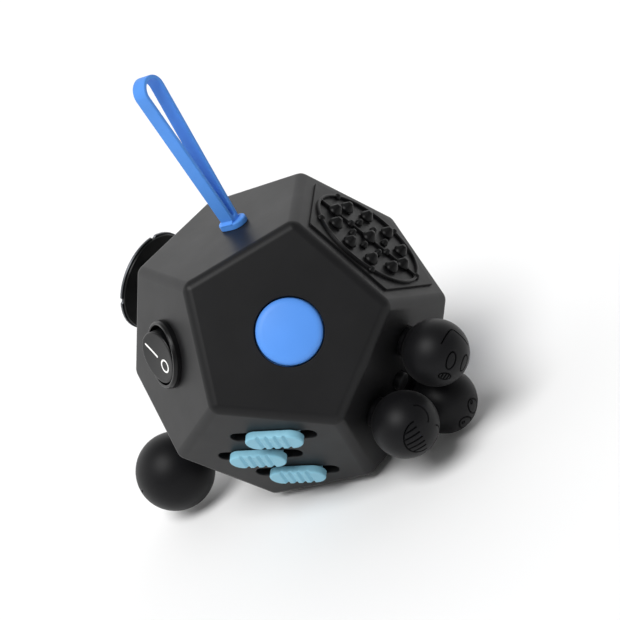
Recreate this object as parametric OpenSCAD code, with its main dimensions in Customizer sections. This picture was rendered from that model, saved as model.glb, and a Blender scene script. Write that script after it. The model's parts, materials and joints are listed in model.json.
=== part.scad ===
// Twelve-sided pocket fidget toy: a hollow dodecahedron with one hand toy on each face.
// It stands on the ripple pad, with the strap loop on top and the push button towards -Y.
// Face modules are drawn with z = 0 on the outside of their face and +z outward.

/* [Body] */
// Distance between two opposite faces
across_flats = 50; // [48:1:56]
// Thickness of the moulded shell
wall = 2; // [1.8:0.1:2.4]
// How deep the edge chamfers cut into the sharp edges
edge_cut = 0.4; // [0.2:0.1:0.8]
// Height that the ripple pad stands proud of its face
pad_h = 1.5; // [1.4:0.1:2.5]

/* [Push button] */
// Radius of the domed cap
cap_r = 5.95; // [5:0.05:6.5]
// Height of the cap's crown above the face
cap_top = 1.45; // [1:0.05:2.5]
// How far the cap travels
cap_travel = 1.2; // [0.6:0.1:1.3]

/* [Strap] */
// Height of the loop above its face
strap_h = 32.5; // [25:0.5:40]
// Width of the band
strap_w = 3; // [2.4:0.1:4.2]
// Thickness of the band
strap_t = 0.75; // [0.6:0.05:1]
// Outer radius of the loop's round end
strap_r = 2.8; // [2.4:0.1:4]
// Lean of the loop away from upright
strap_lean = 1.8; // [0:0.2:3]

/* [Rocker] */
// Outer radius of the bezel
bezel_r = 6.4; // [6.2:0.1:7]
// Height of the bezel above the face
bezel_h = 1.5; // [1:0.1:2]
// Tilt of the paddle to each side
rocker_tilt = 12; // [8:0.5:12]

/* [Sliders] */
// Distance between neighbouring slots
slot_pitch = 7.4; // [7:0.1:7.8]
// Length of a slot
slot_l = 16.2; // [15:0.1:17]
// Width of a slot
slot_w = 3; // [2.6:0.1:3.2]
// Length of a slider cap
slider_l = 10.8; // [9:0.1:11.5]
// Width of a slider cap
slider_w = 4.7; // [4:0.1:5]

/* [Soft balls] */
// Radius of each soft ball
soft_r = 6.15; // [5:0.05:6.4]
// Distance of each soft ball from the middle of its face
soft_ring = 8.05; // [7.8:0.05:8.4]

/* [Joystick] */
// Radius of the joystick ball
stick_ball_r = 8; // [6:0.1:9]
// Height of the ball's centre above the face
stick_h = 14.3; // [13:0.1:16]

/* [Spinner] */
// Radius of the spinning disc
disc_r = 10.1; // [8:0.1:11]
// Height of the underside of the disc above its face
disc_z = 7.4; // [4:0.1:9]

/* [Gears] */
// Teeth on every gear
teeth = 10; // [10:1:10]
// Gear module
gear_m = 0.72; // [0.68:0.01:0.74]

/* [Hidden] */

$fn = 64;

// Dodecahedron
golden = (1 + sqrt(5)) / 2;
face_d = across_flats / 2;
tilt_up = acos(1 / sqrt(5));
tilt_down = 180 - tilt_up;
body_z = face_d + pad_h;
in_d = face_d - wall;
ring_r = 2 * face_d / golden;
ring_z = face_d / pow(golden, 3);
edge_d = face_d / cos(tilt_up / 2);
seam_back = 0.4;
seam_twist = 1;
lip_t = 1.2;
lip_reach = 2;

// Faces: [azimuth, tilt from +Z, turn about the face's own normal]
F_STRAP = [0, 0, 180];
F_FRONT = [-90, tilt_up, 54];
F_TEXTURE = [-18, tilt_up, 162];
F_ROLLER = [54, tilt_up, 126];
F_SPINNER = [126, tilt_up, 54];
F_ROCKER = [198, tilt_up, 18];
F_SOFT = [-54, tilt_down, 126];
F_GEARS = [18, tilt_down, 162];
F_CLICKS = [90, tilt_down, 126];
F_JOYSTICK = [162, tilt_down, 18];
F_SLIDERS = [234, tilt_down, 54];
F_REST = [0, 180, 180];
SLABS = [F_STRAP, F_FRONT, F_TEXTURE, F_ROLLER, F_SPINNER, F_ROCKER];
EDGE_SLABS = concat([for (k = [0:4]) [72 * k - 90, tilt_up / 2, 0]],
                    [for (k = [0:4]) [72 * k - 54, 90 - tilt_up / 2, 0]],
                    [for (k = [0:4]) [36 * k - 72, 90, 0]]);

// Places on the faces
button_at = [1, -0.4];
strap_at = [-2, 1.3];
strap_turn = 45;
strap_foot_x = 0.3;
rocker_at = [-1, 0.65];
rocker_turn = 36;
slider_turn = 18;
slot_along = [2, -2.9, 2];
slider_rest = [0.3, -0.3, 0.2];
soft_angles = [30, 150, 270];
click_ring = 8;
click_angle = 54;
notch_turn = 49.5;
pattern_turn = 6;

// Fits
slide_gap = 0.1;
turn_gap = 0.05;

// Undersides of the plates that hold the modules
button_plate_z = -3;
strap_plate_z = -4.4;
slider_plate_z = -4.4;
soft_plate_z = -3.4;
stick_plate_z = -3;
spinner_plate_z = -3;
click_plate_z = -4.6;
roller_plate_z = -3.2;

// Heat-staked pegs of the pad and the panel
peg_ring = 8;
peg_r = 1.2;
peg_head_r = 1.9;
peg_head_h = 0.8;

// Screws: shaft and head
screw_r = 0.7;
screw_tip = -0.7;
head_r = 1.25;
head_h = 0.8;
// Rows: [face, place on the face, underside of the plate, list of hole places]
SCREWS = [[F_FRONT, button_at, button_plate_z, ring_points(9.3, 3, 90)],
          [F_STRAP, strap_at, strap_plate_z, ring_points(6.8, 3, 30)],
          [F_SLIDERS, [0, 0], slider_plate_z, slider_screws()],
          [F_SOFT, [0, 0], soft_plate_z, ring_points(9.3, 3, 90)],
          [F_JOYSTICK, [0, 0], stick_plate_z, ring_points(9.4, 3, 30)],
          [F_SPINNER, [0, 0], spinner_plate_z, ring_points(7.6, 3, 30)],
          [F_CLICKS, [0, 0], click_plate_z, ring_points(click_ring, 5, click_angle + 36)],
          [F_ROLLER, [0, 0], roller_plate_z, ring_points(7.5, 3, 30)]];

// Room inside the seam lip for the plates: [face, place on the face, radius]
PLATE_ROOM = [[F_FRONT, button_at, 10.6], [F_SOFT, [0, 0], 11.8], [F_JOYSTICK, [0, 0], 11.4],
              [F_CLICKS, [0, 0], 12.2], [F_GEARS, [0, 0], 13.1]];

// Button
cap_flange_r = 7;
cap_flange_z = -2.95;
drum_r = 7.95;
drum_floor_z = -6.4;
drum_z = -7.2;
click_dome_top = -5.6;
click_dome_r = 3.6;
plunger_z = click_dome_top + slide_gap + cap_travel;
dome_crown_r = (pow(cap_r, 2) + pow(0.7, 2)) / (2 * 0.7);

// Strap
collar_h = 1.2;
strap_foot_r = 1.1;
strap_pivot_z = collar_h + strap_foot_r + 0.1;
strap_end_z = strap_h - strap_r - strap_pivot_z;

// Rocker: the marks' heights and sizes are measured on the paddle
rocker_pivot_z = -0.2;
rocker_pin_r = 0.6;
paddle_r = 4.95;
paddle_top = 2.6;
paddle_depth = 2;
sleeve_in = 5.6;
sleeve_out = 6;
sleeve_floor_z = -5.5;
sleeve_z = -6.4;
mark_sink = 0.2;
mark_rise = 0.05;
mark_i_x = -2.1;
mark_i_l = 4;
mark_o_x = 2.3;
mark_o_r = 1.3;
mark_w = 0.4;

// Sliders
slider_top = 1.6;
slider_groove_r = 0.45;
slider_groove_pitch = 1.65;
slider_neck_z = -wall - 0.12;
slider_foot_w = 4;
slider_foot_z = -wall - 1.12;

// Soft balls
ball_pin_r = 1.6;
ball_z = soft_r + 0.38;

// Joystick
stick_pivot_z = -6;
stem_r = 2.2;
hub_r = 3.4;
hub_h = 1.6;
gimbal_out = 5.7;
gimbal_in = 4.5;
gimbal_h = 1.5;
gimbal_pin_r = 0.75;
stick_well_r = 6.7;
stick_well_z = -10.4;
stick_collar_r = 4.6;
stick_collar_h = 0.8;

// Spinner
axle_r = 2;
axle_head_r = 3.2;
half_disc_h = 0.5;
bush_r = 3;
bush_z = -6.6;

// Click buttons
click_r = 2.7;
click_flange_r = 3.3;
click_flange_h = 0.8;

// Roller
roller_r = 4.3;
roller_z = -1.2;
roller_gap = 0.06;
roller_sleeve_r = 5.9;

// Gears
pitch_r = gear_m * teeth / 2;
pressure = 25;
base_r = pitch_r * cos(pressure);
tip_r = pitch_r + 0.8 * gear_m;
root_r = pitch_r - 1.05 * gear_m;
gear_gap = 1.6;
gear_axis = 2 * pitch_r;
gear_z = -2.1;
gear_top = 0.7;
planet_angles = [90, 210, 330];
gear_post_r = 1;
tray_r = 12.6;

function polar(r, a) = r * [cos(a), sin(a)];
function ring_points(r, n, a0) = [for (k = [0:n - 1]) polar(r, a0 + 360 * k / n)];
function turned(p, a) = [p.x * cos(a) - p.y * sin(a), p.x * sin(a) + p.y * cos(a)];
function slider_screws() = [for (x = [-5, 5], y = [-0.5, 0.5])
                            turned([x, y * slot_pitch], slider_turn)];

// Points of an arc
function arc(c, r, a0, a1, n) = [for (k = [0:n]) c + polar(r, a0 + (a1 - a0) * k / n)];

// Outline of a bar with round ends, centred on the origin and lying along X
function bar_points(l, w) = concat(arc([(l - w) / 2, 0], w / 2, -90, 90, 12),
                                   arc([(w - l) / 2, 0], w / 2, 90, 270, 12));

// Outline of a racket: a big round end above a small one, joined by tangent lines
function racket_points(r1, y1, r2, y2) =
    let (s = asin((r1 - r2) / (y1 - y2)))
    concat(arc([0, y1], r1, -s, 180 + s, 24), arc([0, y2], r2, 180 + s, 360 - s, 10));

// Half thickness of a gear tooth, as an angle, at radius r
function involute(a) = tan(a) * 180 / PI - a;
function tooth_half(r) = 90 / teeth - gear_gap + involute(pressure) - involute(acos(min(1, base_r / r)));
function tooth_points(k) =
    let (rs = [for (j = [0:4]) base_r + (tip_r - base_r) * j / 4], c = 360 * k / teeth)
    concat([polar(root_r, c - tooth_half(base_r))],
           [for (r = rs) polar(r, c - tooth_half(r))],
           [for (j = [4:-1:0]) polar(rs[j], c + tooth_half(rs[j]))],
           [polar(root_r, c + tooth_half(base_r))]);

// Placement
module facing(f) {
    rotate([0, 0, f[0]]) rotate([0, f[1], 0]) rotate([0, 0, f[2]]) children();
}

module on_face(f, at = [0, 0]) {
    translate([0, 0, body_z]) facing(f) translate([at.x, at.y, face_d]) children();
}

// A cylinder between two heights
module rod(r, z0, z1) {
    translate([0, 0, z0]) cylinder(r = r, h = z1 - z0);
}

module ring(r_out, r_in, z0, z1) {
    difference() {
        rod(r_out, z0, z1);
        rod(r_in, z0 - 1, z1 + 1);
    }
}

module bar(l, w, z0, z1) {
    translate([0, 0, z0]) linear_extrude(z1 - z0) polygon(bar_points(l, w));
}

module pentagon_plate(r, z0, z1) {
    translate([0, 0, z0]) rotate([0, 0, 54]) linear_extrude(z1 - z0) circle(r = r, $fn = 5);
}

module holes_at(points, r, z0, z1) {
    for (p = points) translate([p.x, p.y, 0]) rod(r, z0, z1);
}

// Helical wire spring standing on z0
module coil(r, wire_r, z0, z1, turns) {
    steps = 14;
    n = turns * steps;
    sides = 8;
    rise = z1 - z0 - 2 * wire_r;
    pts = [for (i = [0:n], j = [0:sides - 1])
           let (a = 360 * i / steps, b = 360 * j / sides, rr = r + wire_r * cos(b))
           [rr * cos(a), rr * sin(a), z0 + wire_r + rise * i / n + wire_r * sin(b)]];
    walls = [for (i = [0:n - 1], j = [0:sides - 1])
             let (a = i * sides + j, b = i * sides + (j + 1) % sides)
             [a, b, b + sides, a + sides]];
    ends = [[for (j = [sides - 1:-1:0]) j], [for (j = [0:sides - 1]) n * sides + j]];
    polyhedron(points = pts, faces = concat([for (w = walls) [w[3], w[2], w[1], w[0]]],
                                            [for (e = ends) [for (k = [sides - 1:-1:0]) e[k]]]));
}

// Body
module dodecahedron(d) {
    translate([0, 0, body_z]) intersection_for (f = SLABS) facing(f)
        cube([4 * d, 4 * d, 2 * d], center = true);
}

module chamfered_body() {
    intersection() {
        dodecahedron(face_d);
        translate([0, 0, body_z]) intersection_for (f = EDGE_SLABS) facing(f)
            cube([4 * face_d, 4 * face_d, 2 * (edge_d - edge_cut)], center = true);
    }
}

// Everything behind the zig-zag seam, as a cone from the middle of the body
module behind_seam(shift) {
    far = 1.5;
    corners = [for (k = [0:9]) let (a = 18 + 36 * k)
               far * [ring_r * cos(a), ring_r * sin(a), k % 2 == 0 ? ring_z : -ring_z]];
    pts = concat([[0, 0, 0], [0, 0, -2.6 * face_d]], corners);
    faces = concat([for (k = [0:9]) [0, 2 + (k + 1) % 10, 2 + k]],
                   [for (k = [0:9]) [1, 2 + k, 2 + (k + 1) % 10]]);
    on_face(F_FRONT) translate([0, 0, shift - face_d]) rotate([0, 0, seam_twist])
        polyhedron(points = pts, faces = faces);
}

module face_openings() {
    through = 1;
    on_face(F_FRONT, button_at) rod(cap_r + 0.25, -wall - through, through);
    on_face(F_STRAP, strap_at) rotate([0, 0, strap_turn + 90]) bar(4.8, 3.1, -wall - through, through);
    for (f = [F_TEXTURE, F_REST])
        on_face(f) holes_at(ring_points(peg_ring, 3, 90), peg_r, -wall - through, through);
    on_face(F_ROCKER, rocker_at) rod(sleeve_out, -wall - through, through);
    on_face(F_SLIDERS) rotate([0, 0, slider_turn]) for (i = [0:2])
        translate([slot_along[i], slot_pitch * (1 - i), 0]) bar(slot_l, slot_w, -wall - through, through);
    on_face(F_SOFT) holes_at(ring_points(soft_ring, 3, soft_angles[0]), ball_pin_r + 0.1, -wall - through,
                             through);
    on_face(F_SOFT) rod(1.85, -wall - through, through);
    on_face(F_JOYSTICK) rod(6.2, -wall - through, through);
    on_face(F_SPINNER) rod(bush_r, -wall - through, through);
    on_face(F_CLICKS) holes_at(ring_points(click_ring, 5, click_angle), click_r + slide_gap, -wall - through,
                               through);
    on_face(F_GEARS) rod(tray_r, -wall - through, through);
    on_face(F_ROLLER) rod(roller_sleeve_r, -wall - through, through);
    for (s = SCREWS) on_face(s[0], s[1]) holes_at(s[3], screw_r, -wall - through, screw_tip);
}

// Room for the module plates inside the seam lip
module plate_room() {
    deep = -9;
    for (p = PLATE_ROOM) on_face(p[0], p[1]) rod(p[2], deep, 0);
    on_face(F_SLIDERS) pentagon_plate(16.6, deep, 0);
}

module front_shell() {
    color("#2b2c2e") difference() {
        chamfered_body();
        dodecahedron(in_d);
        behind_seam(-seam_back);
        face_openings();
    }
}

module rear_shell() {
    color("#2b2c2e") union() {
        intersection() {
            behind_seam(-seam_back);
            difference() {
                chamfered_body();
                dodecahedron(in_d);
                face_openings();
            }
        }
        difference() {
            intersection() {
                dodecahedron(in_d);
                behind_seam(lip_reach - seam_back);
            }
            dodecahedron(in_d - lip_t);
            behind_seam(-lip_reach - seam_back);
            plate_room();
        }
    }
}

// A round or five-sided cover with three heat-staked pegs, shared by the pad and the panel
module staked_pegs() {
    for (p = ring_points(peg_ring, 3, 90)) translate([p.x, p.y, 0]) {
        rod(peg_r, -wall, 0.1);
        rod(peg_head_r, -wall - peg_head_h, -wall);
    }
}

module ripple_pad() {
    pad_r = 11.2;
    groove_r = 0.55;
    color("#3a3c40") on_face(F_REST) {
        difference() {
            rod(pad_r, 0, pad_h);
            for (r = [3.4:2:9.4]) translate([0, 0, pad_h])
                rotate_extrude() translate([r, 0]) circle(r = groove_r, $fn = 24);
        }
        staked_pegs();
    }
}

// A ring of tapered studs; size is [foot radius, tip radius, height]
module studs(n, r, a0, size) {
    for (p = ring_points(r, n, a0)) translate([p.x, p.y, 0])
        cylinder(r1 = size[0], r2 = size[1], h = size[2]);
}

module texture_panel() {
    plate_h = 0.45;
    rib_ring = 11.3;
    rib_w = 0.5;
    rib_h = 0.6;
    color("#232427") on_face(F_TEXTURE) {
        union() {
            pentagon_plate(15.2, 0, plate_h);
            staked_pegs();
            rotate([0, 0, pattern_turn]) translate([0, 0, plate_h - 0.05]) {
                studs(1, 0, 0, [1.5, 0.4, 2]);
                studs(8, 4.2, 0, [0.8, 0.3, 1.1]);
                studs(10, 7.9, 0, [1.4, 0.4, 1.85]);
                studs(5, rib_ring, 36, [0.75, 0.4, 0.95]);
                ring(rib_ring + rib_w / 2, rib_ring - rib_w / 2, 0, rib_h);
                bar(2 * rib_ring, rib_w, 0, rib_h);
            }
        }
    }
}

module module_screws() {
    color("silver") for (s = SCREWS, p = s[3]) on_face(s[0], s[1] + p) union() {
        rod(screw_r, s[2] - 0.1, screw_tip - 0.1);
        rod(head_r, s[2] - head_h, s[2]);
    }
}

// Push button
module button_cap() {
    color("#5d9bf0") on_face(F_FRONT, button_at) union() {
        intersection() {
            rod(cap_r, cap_flange_z + 0.2, cap_top + 1);
            translate([0, 0, cap_top - dome_crown_r]) sphere(r = dome_crown_r, $fn = 96);
        }
        rod(cap_flange_r, cap_flange_z, -wall - slide_gap);
        rod(1.5, plunger_z, cap_flange_z + 0.1);
    }
}

module button_housing() {
    color("dimgray") on_face(F_FRONT, button_at) difference() {
        union() {
            rod(10.3, button_plate_z, -wall);
            rod(drum_r, drum_z, -wall);
        }
        rod(cap_flange_r + slide_gap, drum_floor_z, 0);
        holes_at(SCREWS[0][3], screw_r, drum_z, 0);
    }
}

module button_spring() {
    clear = 0.02;
    color("silver") on_face(F_FRONT, button_at)
        coil(3.8, 0.25, drum_floor_z + clear, cap_flange_z - clear, 4);
}

module button_dome() {
    color("gold") on_face(F_FRONT, button_at) intersection() {
        rod(2.2, drum_floor_z, click_dome_top + 0.6);
        translate([0, 0, click_dome_top - click_dome_r]) sphere(r = click_dome_r);
    }
}

// Strap: the loop bends on its root, which is clamped inside the shell
module strap_loop() {
    gap_z = 0.8;
    color("#5d9bf0") on_face(F_STRAP, strap_at) rotate([0, 0, strap_turn])
        translate([strap_foot_x, 0, strap_pivot_z]) rotate([0, strap_lean, 0]) rotate([90, 0, 0])
        translate([0, 0, -strap_w / 2]) union() {
            linear_extrude(strap_w) difference() {
                polygon(racket_points(strap_r, strap_end_z, strap_foot_r, 0));
                polygon(racket_points(strap_r - strap_t, strap_end_z, strap_foot_r - strap_t, gap_z));
            }
            difference() {
                rod(strap_foot_r, 0, strap_w);
                translate([-strap_foot_r, 0, -1]) cube([2 * strap_foot_r, strap_foot_r + 1, strap_w + 2]);
            }
        }
}

module strap_root() {
    anchor_h = 1.2;
    color("#5d9bf0") on_face(F_STRAP, strap_at) rotate([0, 0, strap_turn + 90]) union() {
        bar(5.8, 4, 0, collar_h);
        bar(4.7, 3, -wall - 0.1, 0.1);
        bar(7, 5, -wall - anchor_h, -wall);
    }
}

module strap_clamp() {
    color("dimgray") on_face(F_STRAP, strap_at) difference() {
        rod(8.6, strap_plate_z, -wall);
        rotate([0, 0, strap_turn + 90]) bar(7.1, 5.1, -wall - 1.2, 0);
        holes_at(SCREWS[1][3], screw_r, strap_plate_z - 1, 0);
    }
}

// Rocker switch: x runs from the I side to the O side
module on_rocker() {
    on_face(F_ROCKER, rocker_at) rotate([0, 0, rocker_turn]) children();
}

module on_paddle() {
    on_rocker() translate([0, 0, rocker_pivot_z]) rotate([0, rocker_tilt, 0]) children();
}

module rocker_bezel() {
    color("#1f2022") on_rocker() difference() {
        union() {
            rotate_extrude() polygon([[sleeve_in, sleeve_floor_z - 0.1], [sleeve_out, sleeve_floor_z - 0.1],
                                      [sleeve_out, 0], [bezel_r, 0], [bezel_r, bezel_h / 2],
                                      [sleeve_in + 0.3, bezel_h], [sleeve_in, bezel_h]]);
            rod(sleeve_out, sleeve_z, sleeve_floor_z);
        }
        translate([0, 0, rocker_pivot_z]) rotate([90, 0, 0])
            rod(rocker_pin_r + turn_gap, -bezel_r - 1, bezel_r + 1);
    }
}

module rocker_nut() {
    nut_h = 1.8;
    color("dimgray") on_rocker() difference() {
        translate([0, 0, -wall - nut_h]) cylinder(r = 8.2, h = nut_h, $fn = 6);
        rod(sleeve_out, sleeve_floor_z, 0);
    }
}

module rocker_paddle() {
    pin_reach = sleeve_out - 0.05;
    color("#141517") on_paddle() difference() {
        union() {
            rod(paddle_r, -paddle_depth, paddle_top);
            rotate([90, 0, 0]) rod(rocker_pin_r, -pin_reach, pin_reach);
        }
        translate([0, 0, paddle_top - mark_sink]) {
            mark_i_shape(1);
            mark_o_shape(1);
        }
    }
}

module mark_i_shape(h) {
    translate([mark_i_x, 0, 0]) bar(mark_i_l, mark_w, 0, h);
}

module mark_o_shape(h) {
    translate([mark_o_x, 0, 0]) ring(mark_o_r, mark_o_r - mark_w, 0, h);
}

module rocker_mark_i() {
    color("white") on_paddle() translate([0, 0, paddle_top - mark_sink]) mark_i_shape(mark_sink + mark_rise);
}

module rocker_mark_o() {
    color("white") on_paddle() translate([0, 0, paddle_top - mark_sink]) mark_o_shape(mark_sink + mark_rise);
}

module rocker_plunger() {
    tip_r = 0.9;
    tip_z = -3.4;
    color("gold") on_rocker() union() {
        rod(tip_r, sleeve_floor_z, tip_z);
        translate([0, 0, tip_z]) sphere(r = tip_r);
        rod(1.5, sleeve_floor_z, sleeve_floor_z + 0.6);
    }
}

// Sliders: x runs along the slots
module on_slot(i) {
    on_face(F_SLIDERS) rotate([0, 0, slider_turn])
        translate([slot_along[i] + slider_rest[i], slot_pitch * (1 - i), 0]) children();
}

module slider_cap(i) {
    color("#7fc4e6") on_slot(i) union() {
        difference() {
            bar(slider_l, slider_w, slide_gap, slider_top);
            for (k = [-1.5:1.5]) translate([slider_groove_pitch * k, 0, slider_top + 0.1])
                rotate([90, 0, 0]) rod(slider_groove_r, -slider_w, slider_w);
        }
        bar(slider_l - 0.1, slot_w - 0.2, slider_neck_z, slide_gap + 0.1);
    }
}

module slider_foot(i) {
    color("dimgray") on_slot(i) bar(slider_l, slider_foot_w, slider_foot_z, slider_neck_z);
}

module slider_plate() {
    color("dimgray") on_face(F_SLIDERS) difference() {
        pentagon_plate(16.2, slider_plate_z, -wall);
        rotate([0, 0, slider_turn]) for (i = [0:2])
            translate([slot_along[i], slot_pitch * (1 - i), 0])
                bar(slot_l + 0.6, slider_foot_w + 0.3, slider_foot_z - 0.18, 0);
        holes_at(SCREWS[2][3], screw_r, slider_plate_z - 1, 0);
    }
}

// Soft balls: each turns with its pin
module on_soft(i) {
    on_face(F_SOFT) rotate([0, 0, soft_angles[i]]) translate([soft_ring, 0, 0]) children();
}

module soft_ball(i) {
    neck_r = 2.9;
    color("#26272b") on_soft(i) difference() {
        union() {
            translate([0, 0, ball_z]) sphere(r = soft_r, $fn = 96);
            rod(neck_r, 0.15, 1.8);
        }
        rod(ball_pin_r, -1, ball_z + 1);
    }
}

module soft_pin(i) {
    color("silver") on_soft(i) union() {
        rod(ball_pin_r, -4.6, ball_z + 1);
        rod(2.5, -4.6, soft_plate_z - slide_gap);
    }
}

module soft_plate() {
    color("dimgray") on_face(F_SOFT) difference() {
        union() {
            rod(11.5, soft_plate_z, -wall);
            rod(3.4, soft_plate_z - 2, -wall);
        }
        holes_at(ring_points(soft_ring, 3, soft_angles[0]), ball_pin_r + turn_gap, soft_plate_z - 1, 0);
        holes_at(SCREWS[3][3], screw_r, soft_plate_z - 1, 0);
        rod(2.55, -4.8, 0);
    }
}

module centre_button() {
    dome_r = 3.6;
    dome_top = 1.3;
    color("#26272b") on_face(F_SOFT) union() {
        intersection() {
            rod(1.75, -wall - 0.5, 2);
            translate([0, 0, dome_top - dome_r]) sphere(r = dome_r);
        }
        rod(2.4, -3, -wall - slide_gap);
        rod(1, -3.9, -2.9);
    }
}

// Ball joystick on a two-axis gimbal
module joystick_ball() {
    color("#26272b") on_face(F_JOYSTICK) difference() {
        translate([0, 0, stick_h]) sphere(r = stick_ball_r, $fn = 96);
        rod(stem_r, 0, stick_h);
    }
}

module joystick_stem() {
    color("silver") on_face(F_JOYSTICK) union() {
        rod(stem_r, stick_pivot_z, stick_h);
        rod(hub_r, stick_pivot_z - hub_h, stick_pivot_z + hub_h);
        translate([0, 0, stick_pivot_z]) rotate([90, 0, 0]) rod(gimbal_pin_r, -5.3, 5.3);
    }
}

module joystick_gimbal() {
    color("dimgray") on_face(F_JOYSTICK) translate([0, 0, stick_pivot_z]) difference() {
        union() {
            ring(gimbal_out, gimbal_in, -gimbal_h, gimbal_h);
            for (s = [0, 180]) rotate([0, 0, s]) rotate([0, 90, 0]) rod(gimbal_pin_r, gimbal_in + 0.6, 7.4);
        }
        rotate([90, 0, 0]) rod(gimbal_pin_r + turn_gap, -8, 8);
    }
}

module joystick_housing() {
    color("dimgray") on_face(F_JOYSTICK) difference() {
        union() {
            rod(11, stick_plate_z, -wall);
            rod(stick_well_r + 1.2, stick_well_z - 1, -wall);
        }
        rod(stick_well_r, stick_well_z, 0);
        translate([0, 0, stick_pivot_z]) rotate([0, 90, 0]) rod(gimbal_pin_r + turn_gap, -9, 9);
        holes_at(SCREWS[4][3], screw_r, stick_plate_z - 1, 0);
    }
}

module joystick_collar() {
    color("#1f2022") on_face(F_JOYSTICK) difference() {
        union() {
            ring(7.4, stick_collar_r, 0, stick_collar_h);
            ring(6.2, stick_collar_r, -wall, 0.1);
        }
        translate([0, 0, stick_collar_h]) rotate_extrude() translate([stick_collar_r, 0])
            circle(r = 0.3, $fn = 24);
    }
}

module joystick_spring() {
    clear = 0.02;
    color("silver") on_face(F_JOYSTICK)
        coil(2.4, 0.3, stick_well_z + clear, stick_pivot_z - hub_h - clear, 3);
}

// Spinner
module spinner_disc() {
    color("#1b1c1e") on_face(F_SPINNER) difference() {
        rod(disc_r - 0.35, disc_z, disc_z + half_disc_h);
        rod(axle_head_r, disc_z - 1, disc_z + 1);
    }
}

module spinner_plate() {
    notch_r = 0.62;
    color("#c9cdd2") on_face(F_SPINNER) difference() {
        rod(disc_r, disc_z + half_disc_h, disc_z + 2 * half_disc_h);
        rotate([0, 0, notch_turn]) holes_at(ring_points(disc_r + 0.15, 4, 0), notch_r, disc_z, disc_z + 2);
        translate([0, 0, disc_z + 1.3]) rotate_extrude() translate([7, 0]) circle(r = 0.5, $fn = 24);
    }
}

module spinner_cap() {
    dome_r = 7.8;
    color("#1b1c1e") on_face(F_SPINNER) intersection() {
        rod(3.9, disc_z + 2 * half_disc_h, disc_z + 3);
        translate([0, 0, disc_z + 2.2 - dome_r]) sphere(r = dome_r);
    }
}

module spinner_axle() {
    color("silver") on_face(F_SPINNER) union() {
        rod(axle_head_r, 0.3, disc_z + half_disc_h);
        rod(axle_r, bush_z - 1, 0.4);
    }
}

module spinner_clip() {
    color("silver") on_face(F_SPINNER) ring(3.4, axle_r, bush_z - 0.8, bush_z - 0.2);
}

module spinner_bush() {
    color("gold") on_face(F_SPINNER) ring(bush_r, axle_r + turn_gap, bush_z, 0);
}

module spinner_housing() {
    color("dimgray") on_face(F_SPINNER) difference() {
        union() {
            rod(9.2, spinner_plate_z, -wall);
            rod(5.4, bush_z, -wall);
        }
        rod(bush_r, bush_z - 1, 0);
        holes_at(SCREWS[5][3], screw_r, spinner_plate_z - 1, 0);
    }
}

// Five click buttons
module click_button(i) {
    dome_r = 6.8;
    dome_top = 1.6;
    color("#5d9bf0") on_face(F_CLICKS) rotate([0, 0, click_angle + 72 * i]) translate([click_ring, 0, 0])
        union() {
            intersection() {
                rod(click_r, -wall - 0.5, 3);
                translate([0, 0, dome_top - dome_r]) sphere(r = dome_r);
            }
            rod(click_flange_r, -wall - slide_gap - click_flange_h, -wall - slide_gap);
        }
}

module click_frame() {
    color("dimgray") on_face(F_CLICKS) difference() {
        rod(12, click_plate_z, -wall);
        holes_at(ring_points(click_ring, 5, click_angle), click_flange_r + slide_gap, click_plate_z + 0.7, 0);
        holes_at(SCREWS[6][3], screw_r, click_plate_z - 1, 0);
    }
}

// Meshed gears: three planets round a thumb-turned sun
module gear() {
    difference() {
        translate([0, 0, gear_z]) linear_extrude(gear_top - gear_z)
            polygon([for (k = [0:teeth - 1], p = tooth_points(k)) p]);
        rod(gear_post_r + turn_gap, gear_z - 1, gear_top + 1);
    }
}

module gear_sun() {
    color("#5d9bf0") on_face(F_GEARS) union() {
        gear();
        ring(2.4, 1.5, gear_top - 0.05, gear_top + 0.5);
    }
}

module gear_planet(i) {
    a = planet_angles[i];
    pitch = 360 / teeth;
    lead = pitch * round(a / pitch) - a;
    color("#c9cdd2") on_face(F_GEARS) rotate([0, 0, a]) translate([gear_axis, 0, 0])
        rotate([0, 0, 180 - lead + pitch / 2]) gear();
}

module gear_tray() {
    tray_z = -3.4;
    floor_z = gear_z - slide_gap;
    posts = concat([[0, 0]], ring_points(gear_axis, 3, planet_angles[0]));
    color("#1f2022") on_face(F_GEARS) difference() {
        union() {
            rod(tray_r, tray_z, 0);
            rod(tray_r + 0.4, tray_z, -wall);
        }
        difference() {
            rod(tray_r - 0.8, floor_z, 1);
            holes_at(posts, gear_post_r, tray_z, gear_top + 0.2);
        }
    }
}

// Rolling ball in a ring
module roller_ball() {
    color("silver") on_face(F_ROLLER) translate([0, 0, roller_z]) sphere(r = roller_r, $fn = 96);
}

module roller_seat() {
    translate([0, 0, roller_z]) sphere(r = roller_r + roller_gap, $fn = 96);
}

module roller_ring() {
    color("#1f2022") on_face(F_ROLLER) difference() {
        union() {
            rod(7, 0, 0.9);
            rod(roller_sleeve_r, roller_z, 0.1);
        }
        roller_seat();
    }
}

module roller_cup() {
    color("dimgray") on_face(F_ROLLER) difference() {
        union() {
            rod(roller_sleeve_r, -6.4, roller_z);
            rod(8.85, roller_plate_z, -wall);
        }
        roller_seat();
        holes_at(SCREWS[7][3], screw_r, roller_plate_z - 1, 0);
    }
}

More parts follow.
